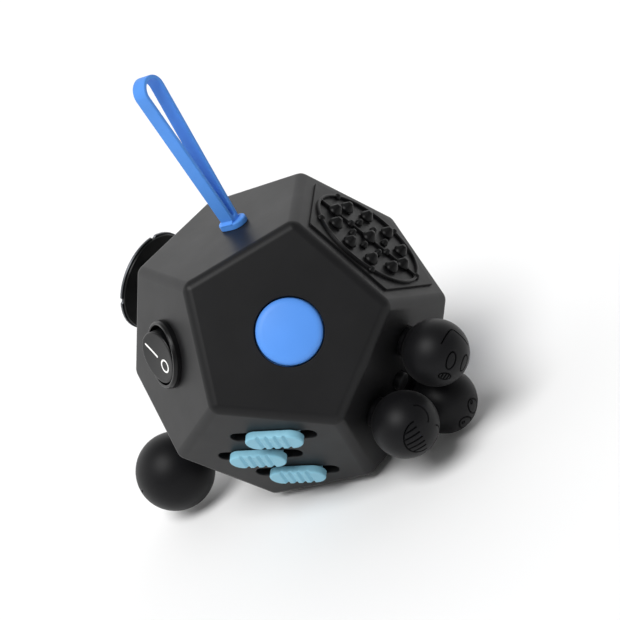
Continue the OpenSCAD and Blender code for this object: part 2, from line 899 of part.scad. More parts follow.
front_shell();
rear_shell();
ripple_pad();
texture_panel();
module_screws();
button_cap();
button_housing();
button_spring();
button_dome();
strap_loop();
strap_root();
strap_clamp();
rocker_bezel();
rocker_nut();
rocker_paddle();
rocker_mark_i();
rocker_mark_o();
rocker_plunger();
for (i = [0:2]) slider_cap(i);
for (i = [0:2]) slider_foot(i);
slider_plate();
for (i = [0:2]) soft_ball(i);
for (i = [0:2]) soft_pin(i);
soft_plate();
centre_button();
joystick_ball();
joystick_stem();
joystick_gimbal();
joystick_housing();
joystick_collar();
joystick_spring();
spinner_disc();
spinner_plate();
spinner_cap();
spinner_axle();
spinner_clip();
spinner_bush();
spinner_housing();
for (i = [0:4]) click_button(i);
click_frame();
gear_sun();
for (i = [0:2]) gear_planet(i);
gear_tray();
roller_ball();
roller_ring();
roller_cup();
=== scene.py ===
# Looks of the twelve-sided pocket fidget toy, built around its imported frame.
# Forms are drawn in millimetres in their own place, z = 0 on the outside of a face and +z outward,
# and become metres in the frame's axes when a piece is made.
import json
import math
from itertools import combinations

import bmesh
import bpy
from mathutils import Matrix, Vector


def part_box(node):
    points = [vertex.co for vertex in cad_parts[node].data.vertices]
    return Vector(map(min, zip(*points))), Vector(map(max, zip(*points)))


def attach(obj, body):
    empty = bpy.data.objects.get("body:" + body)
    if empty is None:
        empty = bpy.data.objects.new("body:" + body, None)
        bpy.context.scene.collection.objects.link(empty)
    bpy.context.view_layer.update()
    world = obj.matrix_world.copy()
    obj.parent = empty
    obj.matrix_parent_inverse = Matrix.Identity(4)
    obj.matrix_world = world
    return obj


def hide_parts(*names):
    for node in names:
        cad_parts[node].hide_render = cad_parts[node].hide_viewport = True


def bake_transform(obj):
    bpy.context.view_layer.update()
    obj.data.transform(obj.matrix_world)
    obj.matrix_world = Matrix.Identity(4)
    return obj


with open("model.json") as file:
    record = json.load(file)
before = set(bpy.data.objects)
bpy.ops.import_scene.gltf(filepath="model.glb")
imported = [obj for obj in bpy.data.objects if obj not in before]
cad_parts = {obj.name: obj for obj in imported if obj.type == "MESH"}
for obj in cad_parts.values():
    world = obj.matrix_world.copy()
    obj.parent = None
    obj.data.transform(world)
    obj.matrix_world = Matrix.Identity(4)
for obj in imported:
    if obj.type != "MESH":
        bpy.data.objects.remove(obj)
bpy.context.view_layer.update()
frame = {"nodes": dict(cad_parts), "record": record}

MM = 0.001
SHELLS = ("front_shell", "rear_shell")
LOW = min(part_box(shell)[0].z for shell in SHELLS) / MM
HIGH = max(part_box(shell)[1].z for shell in SHELLS) / MM
FACE_D = (HIGH - LOW) / 2
BODY_Z = (HIGH + LOW) / 2
WALL = 2.0

TILT_UP = math.degrees(math.acos(1 / math.sqrt(5)))
TILT_DOWN = 180 - TILT_UP
# Each face: azimuth, tilt from +Z, turn about its own normal, in degrees
FACES = {
    "strap": (0, 0, 180),
    "front": (-90, TILT_UP, 54),
    "texture": (-18, TILT_UP, 162),
    "roller": (54, TILT_UP, 126),
    "spinner": (126, TILT_UP, 54),
    "rocker": (198, TILT_UP, 18),
    "soft": (-54, TILT_DOWN, 126),
    "gears": (18, TILT_DOWN, 162),
    "clicks": (90, TILT_DOWN, 126),
    "joystick": (162, TILT_DOWN, 18),
    "sliders": (234, TILT_DOWN, 54),
    "rest": (0, 180, 180),
}
STRAP_TURN = 45
ROCKER_TURN = 36
ROCKER_TILT = 12
SLIDER_TURN = 18
SOFT_ANGLES = (30, 150, 270)
CLICK_ANGLES = tuple(54 + 72 * k for k in range(5))
PLANET_ANGLES = (90, 210, 330)


# ---------------------------------------------------------------- places

def turned(axis, degrees):
    return Matrix.Rotation(math.radians(degrees), 4, axis)


def shifted(x=0, y=0, z=0):
    return Matrix.Translation((x, y, z))


def on_face(face, at=(0, 0), turn=0):
    """A place on a face: z = 0 on its outside, x turned by turn degrees."""
    azimuth, tilt, own_turn = FACES[face]
    facing = turned("Z", azimuth) @ turned("Y", tilt) @ turned("Z", own_turn)
    return shifted(z=BODY_Z) @ facing @ shifted(at[0], at[1], FACE_D) @ turned("Z", turn)


def span(node, place):
    """Lowest and highest corner of a CAD node in a place's own axes."""
    back = place.inverted()
    points = [back @ (v.co / MM) for v in frame["nodes"][node].data.vertices]
    return Vector(map(min, *points)), Vector(map(max, *points))


def at_node(face, node, turn=0):
    """The place on a face at the middle of a CAD node."""
    low, high = span(node, on_face(face))
    return on_face(face, ((low.x + high.x) / 2, (low.y + high.y) / 2), turn)


def round_the_face(face, radius, angle):
    """A place at a radius and angle from the middle of a face, its x pointing outward."""
    return on_face(face) @ turned("Z", angle) @ shifted(radius)


# ---------------------------------------------------------------- outlines

def arc(cx, cy, radius, start, end, steps):
    """Points of an arc, angles in degrees."""
    angles = [math.radians(start + (end - start) * k / steps) for k in range(steps + 1)]
    return [(cx + radius * math.cos(a), cy + radius * math.sin(a)) for a in angles]


def line(start, end, steps):
    """Points of a straight line without its last one."""
    return [tuple(s + (e - s) * k / steps for s, e in zip(start, end)) for k in range(steps)]


def rounded(corners, steps=5):
    """A closed outline whose corners (x, y, radius) become arcs."""
    points = []
    for i, (x, y, radius) in enumerate(corners):
        corner = Vector((x, y))
        before = (Vector(corners[i - 1][:2]) - corner).normalized()
        after = (Vector(corners[(i + 1) % len(corners)][:2]) - corner).normalized()
        half = before.angle(after) / 2
        if radius == 0 or half > math.radians(89):
            points.append((x, y))
            continue
        centre = corner + (before + after).normalized() * radius / math.sin(half)
        first = corner + before * radius / math.tan(half) - centre
        last = corner + after * radius / math.tan(half) - centre
        sweep = math.atan2(first.x * last.y - first.y * last.x, first.dot(last))
        start = math.atan2(first.y, first.x)
        for k in range(steps + 1):
            a = start + sweep * k / steps
            points.append((centre.x + radius * math.cos(a), centre.y + radius * math.sin(a)))
    return points


def circle(radius, steps=96):
    """Outline of a disc as a function of how far it is inset."""
    return lambda inset: [
        ((radius - inset) * math.cos(math.tau * k / steps), (radius - inset) * math.sin(math.tau * k / steps))
        for k in range(steps)
    ]


def pill(length, width, end_steps=16, side_steps=1):
    """Outline of a bar with round ends along X, as a function of how far it is inset."""
    reach = (length - width) / 2

    def outline(inset):
        r = max(width / 2 - inset, 0)
        right = arc(reach, 0, r, -90, 90, end_steps)[:-1]
        left = arc(-reach, 0, r, 90, 270, end_steps)[:-1]
        back, forth = line((reach, r), (-reach, r), side_steps), line((-reach, -r), (reach, -r), side_steps)
        return right + back + left + forth

    return outline


def polygon(radius, sides, corner, start):
    """Outline of a regular polygon with rounded corners, as a function of how far it is inset."""
    shrink = 1 / math.cos(math.pi / sides)

    def outline(inset):
        r = radius - inset * shrink
        angles = [math.radians(start + 360 * k / sides) for k in range(sides)]
        return rounded([(r * math.cos(a), r * math.sin(a), max(corner - inset, 0.02)) for a in angles])

    return outline


# ---------------------------------------------------------------- forms

def lathe(outline, steps=96):
    """A closed (radius, height) outline turned about Z."""
    form = bmesh.new()
    rings = []
    for radius, z in outline:
        count = steps if radius > 1e-6 else 1
        angles = [math.tau * k / steps for k in range(count)]
        rings.append([form.verts.new((radius * math.cos(a), radius * math.sin(a), z)) for a in angles])
    for low, high in zip(rings, rings[1:] + rings[:1]):
        if len(low) == len(high) == 1:
            continue
        for k in range(steps):
            m = k + 1
            quad = [low[k % len(low)], low[m % len(low)], high[m % len(high)], high[k % len(high)]]
            form.faces.new(list(dict.fromkeys(quad)))
    return form


def rod(radius, low, high, steps):
    """A round bar along Z."""
    return lathe([(0, low), (radius, low), (radius, high), (0, high)], steps)


def stack(rings):
    """A closed form through rings of points, with the same number of points in each."""
    form = bmesh.new()
    loops = [[form.verts.new(point) for point in ring] for ring in rings]
    count = len(loops[0])
    for low, high in zip(loops, loops[1:]):
        for k in range(count):
            m = (k + 1) % count
            form.faces.new((low[k], low[m], high[m], high[k]))
    form.faces.new(list(reversed(loops[0])))
    form.faces.new(loops[-1])
    return form


def edge_levels(z0, z1, low=0.0, high=0.0, steps=5):
    """(inset, z) levels of a wall from z0 to z1 with rounded edges."""
    quarter = [math.pi / 2 * k / steps for k in range(steps + 1)]
    foot = [(low * (1 - math.sin(a)), z0 + low * (1 - math.cos(a))) for a in quarter] if low else [(0, z0)]
    head = [(high * (1 - math.cos(a)), z1 - high * (1 - math.sin(a))) for a in quarter] if high else [(0, z1)]
    return foot + head


def layers(outline, levels, lift=None):
    """A form whose rings are an outline inset by each level; lift(x, y, z) moves their heights."""
    rings = []
    for inset, z in levels:
        rings.append([(x, y, lift(x, y, z) if lift else z) for x, y in outline(inset)])
    form = stack(rings)
    bmesh.ops.remove_doubles(form, verts=form.verts, dist=1e-4)
    bmesh.ops.dissolve_degenerate(form, edges=form.edges, dist=1e-5)
    return form


def put(target, form, place=None):
    """Adds one form to another at a place, and frees it."""
    if place is not None:
        form.transform(place)
    mesh = bpy.data.meshes.new("form")
    form.to_mesh(mesh)
    form.free()
    target.from_mesh(mesh)
    bpy.data.meshes.remove(mesh)
    return target


def loose(form, name="tool"):
    """An object of a form in millimetres, for cutting."""
    bmesh.ops.recalc_face_normals(form, faces=form.faces)
    mesh = bpy.data.meshes.new(name)
    form.to_mesh(mesh)
    form.free()
    thing = bpy.data.objects.new(name, mesh)
    bpy.context.scene.collection.objects.link(thing)
    return thing


def discard(thing):
    mesh = thing.data
    bpy.data.objects.remove(thing)
    bpy.data.meshes.remove(mesh)


def cut(form, tool, operation="DIFFERENCE", overlaps=False):
    """The boolean of a form and a tool form; both are used up."""
    target, cutter = loose(form, "target"), loose(tool)
    modifier = target.modifiers.new("cut", "BOOLEAN")
    modifier.object = cutter
    modifier.operation = operation
    modifier.solver = "EXACT"
    modifier.use_self = overlaps
    bpy.context.view_layer.update()
    mesh = bpy.data.meshes.new_from_object(target.evaluated_get(bpy.context.evaluated_depsgraph_get()))
    result = bmesh.new()
    result.from_mesh(mesh)
    bpy.data.meshes.remove(mesh)
    discard(target)
    discard(cutter)
    bmesh.ops.remove_doubles(result, verts=result.verts, dist=1e-5)
    bmesh.ops.dissolve_degenerate(result, edges=result.edges, dist=1e-5)
    return result


# ---------------------------------------------------------------- materials

def linear(code):
    """Scene-linear colour of a hex code."""
    parts = [int(code[k:k + 2], 16) / 255 for k in (1, 3, 5)]
    return [c / 12.92 if c <= 0.04045 else ((c + 0.055) / 1.055) ** 2.4 for c in parts] + [1.0]


class Finish:
    """A Principled material with helpers that add its procedural detail."""

    def __init__(self, name, colour, **sockets):
        self.material = bpy.data.materials.new(name)
        self.material.use_nodes = True
        self.nodes = self.material.node_tree.nodes
        self.links = self.material.node_tree.links
        self.shader = self.nodes["Principled BSDF"]
        self.colour = linear(colour)
        self.shader.inputs["Base Color"].default_value = self.colour
        self.place = self.nodes.new("ShaderNodeTexCoord").outputs["Object"]
        for socket, value in sockets.items():
            self.shader.inputs[socket.replace("_", " ")].default_value = value
        self.height = None

    def noise(self, size_mm, detail=2.0, stretch=None):
        """Noise whose features are about size_mm across; stretch scales the axes."""
        node = self.nodes.new("ShaderNodeTexNoise")
        node.inputs["Scale"].default_value = 1 / (size_mm * MM)
        node.inputs["Detail"].default_value = detail
        place = self.place
        if stretch:
            mapping = self.nodes.new("ShaderNodeMapping")
            mapping.inputs["Scale"].default_value = stretch
            self.links.new(place, mapping.inputs["Vector"])
            place = mapping.outputs["Vector"]
        self.links.new(place, node.inputs["Vector"])
        return node.outputs["Fac"]

    def mottled(self, size_mm, amount):
        """Colour that drifts a little lighter and darker."""
        ramp = self.nodes.new("ShaderNodeValToRGB")
        for stop, gain in zip(ramp.color_ramp.elements, (1 - amount, 1 + amount)):
            stop.color = [min(c * gain, 1.0) for c in self.colour[:3]] + [1.0]
        ramp.color_ramp.elements[0].position = 0.3
        ramp.color_ramp.elements[1].position = 0.7
        self.links.new(self.noise(size_mm), ramp.inputs["Fac"])
        self.links.new(ramp.outputs["Color"], self.shader.inputs["Base Color"])
        return self

    def handled(self, size_mm, low, high):
        """Roughness that varies where fingers have polished the surface."""
        spread = self.nodes.new("ShaderNodeMapRange")
        spread.inputs["To Min"].default_value = low
        spread.inputs["To Max"].default_value = high
        self.links.new(self.noise(size_mm, 4.0), spread.inputs["Value"])
        self.links.new(spread.outputs["Result"], self.shader.inputs["Roughness"])
        return self

    def grained(self, size_mm, depth_mm, stretch=None):
        """Fine surface relief; each call adds one scale of it."""
        bump = self.nodes.new("ShaderNodeBump")
        bump.inputs["Distance"].default_value = depth_mm * MM
        bump.inputs["Strength"].default_value = 1.0
        self.links.new(self.noise(size_mm, 2.0, stretch), bump.inputs["Height"])
        if self.height is not None:
            self.links.new(self.height, bump.inputs["Normal"])
        self.height = bump.outputs["Normal"]
        self.links.new(self.height, self.shader.inputs["Normal"])
        return self


def body_black():
    finish = Finish("matt_black_abs", "#19191a", Specular_IOR_Level=0.19)
    return finish.mottled(9, 0.12).handled(6, 0.36, 0.46).grained(0.35, 0.004).grained(4, 0.006)


def panel_black():
    finish = Finish("satin_black_abs", "#0d0d0e", Specular_IOR_Level=0.15)
    return finish.mottled(5, 0.12).handled(3, 0.34, 0.46).grained(0.3, 0.004)


def gloss_black():
    finish = Finish("smooth_black_plastic", "#0c0c0d", Specular_IOR_Level=0.25)
    return finish.mottled(6, 0.1).handled(4, 0.26, 0.36).grained(0.6, 0.002)


def soft_black():
    finish = Finish("soft_black_silicone", "#0f0f11", Specular_IOR_Level=0.16, Sheen_Weight=0.02)
    return finish.mottled(7, 0.1).handled(5, 0.42, 0.52).grained(0.25, 0.003)


def pad_rubber():
    finish = Finish("black_rubber", "#151517", Specular_IOR_Level=0.35, Sheen_Weight=0.15)
    return finish.mottled(4, 0.15).handled(3, 0.6, 0.75).grained(0.2, 0.006)


def blue_plastic():
    finish = Finish("blue_plastic", "#5896ec", Specular_IOR_Level=0.25)
    return finish.mottled(8, 0.03).handled(4, 0.38, 0.48).grained(0.4, 0.002)


def blue_silicone():
    finish = Finish("blue_silicone", "#4f90e4", Specular_IOR_Level=0.25, Sheen_Weight=0.05)
    return finish.mottled(6, 0.04).handled(3, 0.5, 0.62).grained(0.25, 0.003)


def slider_blue():
    finish = Finish("pale_blue_plastic", "#86bdd2", Specular_IOR_Level=0.3)
    return finish.mottled(5, 0.03).handled(3, 0.42, 0.52).grained(0.3, 0.002)


def white_ink():
    finish = Finish("white_ink", "#f7f7f5", Specular_IOR_Level=0.4)
    return finish.mottled(1.5, 0.02).handled(1, 0.45, 0.6).grained(0.15, 0.002)


def inner_plastic():
    finish = Finish("grey_nylon", "#4a4b4e", Specular_IOR_Level=0.4)
    return finish.mottled(5, 0.08).handled(4, 0.45, 0.6).grained(0.4, 0.004)


def gear_grey():
    finish = Finish("pale_acetal", "#c4c8cd", Specular_IOR_Level=0.45)
    return finish.mottled(4, 0.04).handled(3, 0.32, 0.42).grained(0.4, 0.002)


def steel():
    finish = Finish("turned_steel", "#b9babd", Metallic=1.0)
    return finish.mottled(3, 0.06).handled(2, 0.28, 0.4).grained(0.15, 0.001, (1, 1, 9))


def steel_ball():
    finish = Finish("polished_steel", "#c8cacc", Metallic=1.0)
    return finish.mottled(5, 0.03).handled(3, 0.07, 0.13).grained(0.8, 0.0004)


def disc_metal():
    finish = Finish("dark_satin_metal", "#5e6064", Metallic=1.0)
    return finish.mottled(4, 0.06).handled(2, 0.38, 0.5).grained(0.2, 0.002, (1, 1, 6))


def brass():
    finish = Finish("brass", "#b8924a", Metallic=1.0)
    return finish.mottled(3, 0.08).handled(2, 0.25, 0.4).grained(0.2, 0.002)


# The record's material slots and the finish of each
FINISHES = {
    "body_black": body_black, "panel_black": panel_black, "pad_rubber": pad_rubber, "steel": steel,
    "blue_button": blue_plastic, "inner_plastic": inner_plastic, "brass": brass,
    "blue_silicone": blue_silicone, "gloss_black": gloss_black, "white_ink": white_ink,
    "soft_black": soft_black, "blue_slider": slider_blue, "disc_metal": disc_metal,
    "gear_grey": gear_grey, "steel_ball": steel_ball,
}
MATERIALS = {slot: make().material for slot, make in FINISHES.items()}
SLOT_OF = {row["node"]: row["material_slot"] for row in frame["record"]["subparts"]}
BODY_OF = {node: body for body, nodes in frame["record"]["behaviour"]["bodies"].items() for node in nodes}


def add_piece(name, form, nodes, place=None, sharp=32, rides=True):
    """Makes a piece from a form in millimetres; it stands for the CAD nodes and rides on their body."""
    bmesh.ops.recalc_face_normals(form, faces=form.faces)
    if place is not None:
        form.transform(place)
    form.transform(Matrix.Scale(MM, 4))
    mesh = bpy.data.meshes.new(name)
    form.to_mesh(mesh)
    form.free()
    mesh.shade_smooth()
    mesh.set_sharp_from_angle(angle=math.radians(sharp))
    piece = bpy.data.objects.new(name, mesh)
    bpy.context.scene.collection.objects.link(piece)
    slot = SLOT_OF[nodes[0]]
    mesh.materials.append(MATERIALS[slot])
    even = piece.modifiers.new("normals", "WEIGHTED_NORMAL")
    even.keep_sharp = True
    if rides:
        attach(piece, BODY_OF[nodes[0]])
    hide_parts(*nodes)
    return piece


# ---------------------------------------------------------------- camera, light and floor

CAMERA_AZIMUTH = -0.93
CAMERA_ELEVATION = 23.173
CAMERA_ROLL = -30.542
CAMERA_DISTANCE = 312.1
CAMERA_LENS = 95.13
AIM_RIGHT = 4.17
AIM_UP = 4.754


def add_camera():
    azimuth, elevation, roll = (math.radians(a) for a in (CAMERA_AZIMUTH, CAMERA_ELEVATION, CAMERA_ROLL))
    flat = math.cos(elevation)
    back = Vector((math.sin(azimuth) * flat, -math.cos(azimuth) * flat, math.sin(elevation)))
    level = Vector((math.cos(azimuth), math.sin(azimuth), 0))
    upright = back.cross(level)
    right = level * math.cos(roll) + upright * math.sin(roll)
    up = back.cross(right)
    aim = Vector((0, 0, BODY_Z)) + right * AIM_RIGHT + up * AIM_UP
    data = bpy.data.cameras.new("camera")
    data.lens = CAMERA_LENS
    data.sensor_width = 36
    data.clip_start = 0.01
    camera = bpy.data.objects.new("camera", data)
    axes = Matrix((right, up, back)).transposed().to_4x4()
    camera.matrix_world = Matrix.Translation((aim + back * CAMERA_DISTANCE) * MM) @ axes
    bpy.context.scene.collection.objects.link(camera)
    bpy.context.scene.camera = camera


def add_world():
    """A studio that is bright behind and to the left, and dim overhead and on the camera's side."""
    world = bpy.data.worlds.new("studio")
    bpy.context.scene.world = world
    world.use_nodes = True
    nodes, links = world.node_tree.nodes, world.node_tree.links
    direction = nodes.new("ShaderNodeTexCoord").outputs["Generated"]

    def along(axis, low, high, start, end):
        dot = nodes.new("ShaderNodeVectorMath")
        dot.operation = "DOT_PRODUCT"
        dot.inputs[1].default_value = axis
        links.new(direction, dot.inputs[0])
        spread = nodes.new("ShaderNodeMapRange")
        spread.interpolation_type = "SMOOTHSTEP"
        for socket, value in zip(("From Min", "From Max", "To Min", "To Max"), (start, end, low, high)):
            spread.inputs[socket].default_value = value
        links.new(dot.outputs["Value"], spread.inputs["Value"])
        return spread.outputs["Result"]

    product = nodes.new("ShaderNodeMath")
    product.operation = "MULTIPLY"
    links.new(along((-0.35, 0.93, 0), 0.25, 1.35, -0.6, 0.8), product.inputs[0])
    links.new(along((0, 0, 1), 1.0, 0.35, 0.45, 0.85), product.inputs[1])
    background = nodes["Background"]
    links.new(product.outputs["Value"], background.inputs["Strength"])
    background.inputs["Color"].default_value = (1, 1, 1, 1)


def add_sun(name, direction, strength, spread):
    data = bpy.data.lights.new(name, "SUN")
    data.energy = strength
    data.angle = math.radians(spread)
    sun = bpy.data.objects.new(name, data)
    sun.rotation_mode = "QUATERNION"
    sun.rotation_quaternion = Vector(direction).to_track_quat("Z", "Y")
    bpy.context.scene.collection.objects.link(sun)


def add_floor():
    half = 3.0
    form = bmesh.new()
    corners = [(-half, -half, 0), (half, -half, 0), (half, half, 0), (-half, half, 0)]
    form.faces.new([form.verts.new(c) for c in corners])
    mesh = bpy.data.meshes.new("floor")
    form.to_mesh(mesh)
    form.free()
    paint = Finish("white_floor", "#f4f4f4", Roughness=0.7, Specular_IOR_Level=0.2)
    mesh.materials.append(paint.material)
    floor = bpy.data.objects.new("floor", mesh)
    bpy.context.scene.collection.objects.link(floor)


def add_studio():
    add_camera()
    add_world()
    add_sun("key", (-0.29, -0.42, 0.86), 2.6, 36)
    add_floor()
    bpy.context.scene.view_settings.view_transform = "Standard"


# ---------------------------------------------------------------- shells

EDGE_FILLET = 2.2
RIM = 0.18
SEAM_BACK = 0.4
SEAM_TWIST = 1.0
SEAM_GAP = 0.03
LIP = 1.2
LIP_REACH = 2.0
TOOL_DEEP = -WALL - 1.5
TOOL_TOP = 1.0
STRAP_OPENING = (4.8, 3.1)
# Radius of each face's round opening
HOLE_R = {"front": 6.2, "rocker": 6.0, "ball_pin": 1.7, "soft": 1.85, "joystick": 6.2, "spinner": 3.0,
          "click": 2.8, "gears": 12.65, "roller": 5.9}
# Radius of the room that each module plate needs inside the seam lip
PLATE_R = {"front": 10.6, "soft": 11.8, "joystick": 11.4, "clicks": 12.2, "gears": 13.1, "sliders": 14}
PLATE_DEEP = -9


def dodecahedron(d):
    """The body's form with its faces d from the middle."""
    axes = [(on_face(face).to_3x3() @ Vector((0, 0, 1))).normalized() for face in FACES]
    form = bmesh.new()
    corners = []
    for trio in combinations(axes, 3):
        if all(a.dot(b) > 0.4 for a, b in combinations(trio, 2)):
            corners.append(form.verts.new(Matrix(trio).inverted() @ Vector((d, d, d))))
    for axis in axes:
        side = axis.orthogonal().normalized()
        up = axis.cross(side)
        loop = [v for v in corners if abs(v.co.dot(axis) - d) < 1e-3]
        loop.sort(key=lambda v: math.atan2(v.co.dot(up), v.co.dot(side)))
        form.faces.new(loop)
    form.transform(shifted(z=BODY_Z))
    bmesh.ops.recalc_face_normals(form, faces=form.faces)
    return form


def filleted_body():
    form = dodecahedron(FACE_D)
    reach = EDGE_FILLET * math.tan(math.radians(TILT_UP / 2))
    bmesh.ops.bevel(form, geom=form.edges[:] + form.verts[:], offset=reach, offset_type="OFFSET",
                    segments=6, profile=0.5, affect="EDGES")
    return form


def behind_seam(shift):
    """Everything behind the zig-zag seam, as a cone from the middle of the body."""
    golden = (1 + math.sqrt(5)) / 2
    far = 1.5
    radius, height = far * 2 * FACE_D / golden, far * FACE_D / golden ** 3
    form = bmesh.new()
    tip, root = form.verts.new((0, 0, 0)), form.verts.new((0, 0, -2.6 * FACE_D))
    belt = []
    for k in range(10):
        a = math.radians(18 + 36 * k + SEAM_TWIST)
        z = -height if k % 2 else height
        belt.append(form.verts.new((radius * math.cos(a), radius * math.sin(a), z)))
    for k in range(10):
        form.faces.new((tip, belt[k], belt[(k + 1) % 10]))
        form.faces.new((root, belt[(k + 1) % 10], belt[k]))
    form.transform(on_face("front") @ shifted(z=shift - FACE_D))
    return form


def round_opening(radius):
    """A tool that drills a face and rounds the rim of the hole."""
    rim = [(radius + RIM + x, y) for x, y in arc(0, -RIM, RIM, 180, 90, 4)]
    return lathe([(0, TOOL_DEEP), (radius, TOOL_DEEP)] + rim + [(radius + RIM, TOOL_TOP), (0, TOOL_TOP)], 64)


def bar_opening(length, width):
    """A tool that cuts a slot with round ends in a face and rounds its rim."""
    quarter = [math.pi / 2 * k / 4 for k in range(5)]
    rim = [(-RIM * (1 - math.cos(a)), -RIM * (1 - math.sin(a))) for a in quarter]
    return layers(pill(length, width), [(0, TOOL_DEEP)] + rim + [(-RIM, TOOL_TOP)])


def opening_tools():
    tools = bmesh.new()
    put(tools, round_opening(HOLE_R["front"]), at_node("front", "button_cap"))
    put(tools, bar_opening(*STRAP_OPENING), at_node("strap", "strap_root", STRAP_TURN + 90))
    put(tools, round_opening(HOLE_R["rocker"]), at_node("rocker", "rocker_bezel"))
    for slot_place in slider_slots():
        put(tools, bar_opening(SLOT_L, SLOT_W), slot_place)
    for angle in SOFT_ANGLES:
        put(tools, round_opening(HOLE_R["ball_pin"]), round_the_face("soft", SOFT_RING, angle))
    for face in ("soft", "joystick", "spinner"):
        put(tools, round_opening(HOLE_R[face]), on_face(face))
    for angle in CLICK_ANGLES:
        put(tools, round_opening(HOLE_R["click"]), round_the_face("clicks", CLICK_RING, angle))
    for face in ("gears", "roller"):
        put(tools, round_opening(HOLE_R[face]), on_face(face))
    return tools


def plate_room():
    """Room for the module plates inside the seam lip."""
    tools = bmesh.new()
    for face, radius in PLATE_R.items():
        place = at_node(face, "button_cap") if face == "front" else on_face(face)
        put(tools, rod(radius, PLATE_DEEP, 0.1, 48), place)
    return tools


def add_shells():
    inner = FACE_D - WALL
    for name, node in (("front_shell_form", "front_shell"), ("rear_shell_form", "rear_shell")):
        form = cut(filleted_body(), put(opening_tools(), dodecahedron(inner)), overlaps=True)
        if node == "front_shell":
            form = cut(form, behind_seam(SEAM_GAP - SEAM_BACK))
        else:
            form = cut(form, behind_seam(-SEAM_GAP - SEAM_BACK), "INTERSECT")
            lip = cut(dodecahedron(inner), behind_seam(LIP_REACH - SEAM_BACK), "INTERSECT")
            lip = cut(lip, behind_seam(-LIP_REACH - SEAM_BACK))
            lip = cut(lip, dodecahedron(inner - LIP))
            lip = cut(lip, plate_room(), overlaps=True)
            form = cut(form, lip, "UNION")
        add_piece(name, form, [node])


# ---------------------------------------------------------------- push button

BUTTON_R = 5.95
BUTTON_STEM_R = 1.5
BUTTON_DROP = 0.62
FLANGE_LOW = -2.95
FLANGE_TOP = -2.1


def add_button():
    place = at_node("front", "button_cap")
    low, high = span("button_cap", place)
    flange_r, crown, edge = high.x, high.z, high.z - BUTTON_DROP
    dome_r, dome_h = BUTTON_R * 0.86, BUTTON_DROP - 0.18
    dome = [(dome_r * (1 - k / 10), crown - dome_h * (1 - k / 10) ** 2) for k in range(11)]
    shoulder = [(BUTTON_R * 0.945, edge - 0.08), (BUTTON_R * 0.985, edge - 0.4), (BUTTON_R, edge - 0.85)]
    outline = [(0, low.z), (BUTTON_STEM_R, low.z), (BUTTON_STEM_R, FLANGE_LOW), (flange_r, FLANGE_LOW),
               (flange_r, FLANGE_TOP), (BUTTON_R, FLANGE_TOP)]
    add_piece("button_cap_form", lathe(outline + shoulder[::-1] + dome, 128), ["button_cap"], place)


# ---------------------------------------------------------------- strap

STRAP_EDGE = 0.22
COLLAR_EDGE = 0.35
STRAP_THICK = 0.75
STRAP_LEAN = 1.8
FOOT_R = 1.1
FOOT_SHIFT = 0.3
FOOT_SINK = 0.5
FOOT_FILLET = 0.75
STRAND_STEPS = 70
COLLAR_SIZE = (5.8, 4.0)
NECK_SIZE = (4.7, 3.0)
ANCHOR_SIZE = (7, 5)
ANCHOR_H = 1.2


def racket(big_r, big_z, small_r, small_z):
    """Outline of a big round end above a small one, joined by straight strands with many points."""
    lean = math.degrees(math.asin((big_r - small_r) / (big_z - small_z)))
    top = arc(0, big_z, big_r, -lean, 180 + lean, 32)
    foot = arc(0, small_z, small_r, 180 + lean, 360 - lean, 10)
    down, up = line(top[-1], foot[0], STRAND_STEPS), line(foot[-1], top[0], STRAND_STEPS)
    return top[:-1] + down + foot[:-1] + up


def band(loop_r, loop_z, width):
    """The flat band of the strap, bent into a loop in the XZ plane, its foot at the origin."""
    levels = edge_levels(-width / 2, width / 2, STRAP_EDGE, STRAP_EDGE)
    form = bmesh.new()
    shells = []
    for inset, y in levels:
        outer = racket(loop_r - inset, loop_z, FOOT_R - inset, -FOOT_SINK)
        inner = racket(loop_r - STRAP_THICK + inset, loop_z, FOOT_R - STRAP_THICK + inset, 0)
        shells.append([[form.verts.new((x, y, z)) for x, z in outline] for outline in (outer, inner)])
    count = len(shells[0][0])
    for low, high in zip(shells, shells[1:]):
        for side in (0, 1):
            for k in range(count):
                m = (k + 1) % count
                form.faces.new((low[side][k], low[side][m], high[side][m], high[side][k]))
    for outer, inner in (shells[0], shells[-1]):
        for k in range(count):
            m = (k + 1) % count
            form.faces.new((outer[k], outer[m], inner[m], inner[k]))
    return form


def strand_fillets(collar_z, width):
    """Concave fillets that run the broad sides of the strap's foot into the collar."""
    middle_x = FOOT_SHIFT + FOOT_R - 0.12 + FOOT_FILLET
    right = arc(middle_x, collar_z + FOOT_FILLET, FOOT_FILLET, 180, 270, 6)
    left = [(2 * FOOT_SHIFT - x, z) for x, z in reversed(right)]
    low = [(left[0][0], collar_z - 0.2), (right[-1][0], collar_z - 0.2)]
    outline = [low[0]] + left + right + [low[1]]
    return stack([[(x, y, z) for x, z in outline] for y in (-width / 2 + 0.15, width / 2 - 0.15)])


def add_strap():
    place = at_node("strap", "strap_root", STRAP_TURN)
    collar_z = span("strap_root", place)[1].z
    pivot_z = collar_z + FOOT_R + 0.1
    own = shifted(FOOT_SHIFT, 0, pivot_z) @ turned("Y", STRAP_LEAN)
    low, high = span("strap_loop", place @ own)
    width = high.y - low.y
    form = bmesh.new()
    put(form, band(high.x, high.z - high.x, width), own)
    put(form, layers(pill(*COLLAR_SIZE), edge_levels(0.01, collar_z, 0.1, COLLAR_EDGE)), turned("Z", 90))
    put(form, strand_fillets(collar_z, width))
    put(form, layers(pill(*NECK_SIZE), [(0, -WALL - 0.1), (0, 0.1)]), turned("Z", 90))
    put(form, layers(pill(*ANCHOR_SIZE), [(0, -WALL - ANCHOR_H), (0, -WALL)]), turned("Z", 90))
    piece = add_piece("strap_form", form, ["strap_loop", "strap_root"], place, rides=False)
    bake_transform(piece)


# ---------------------------------------------------------------- rocker switch

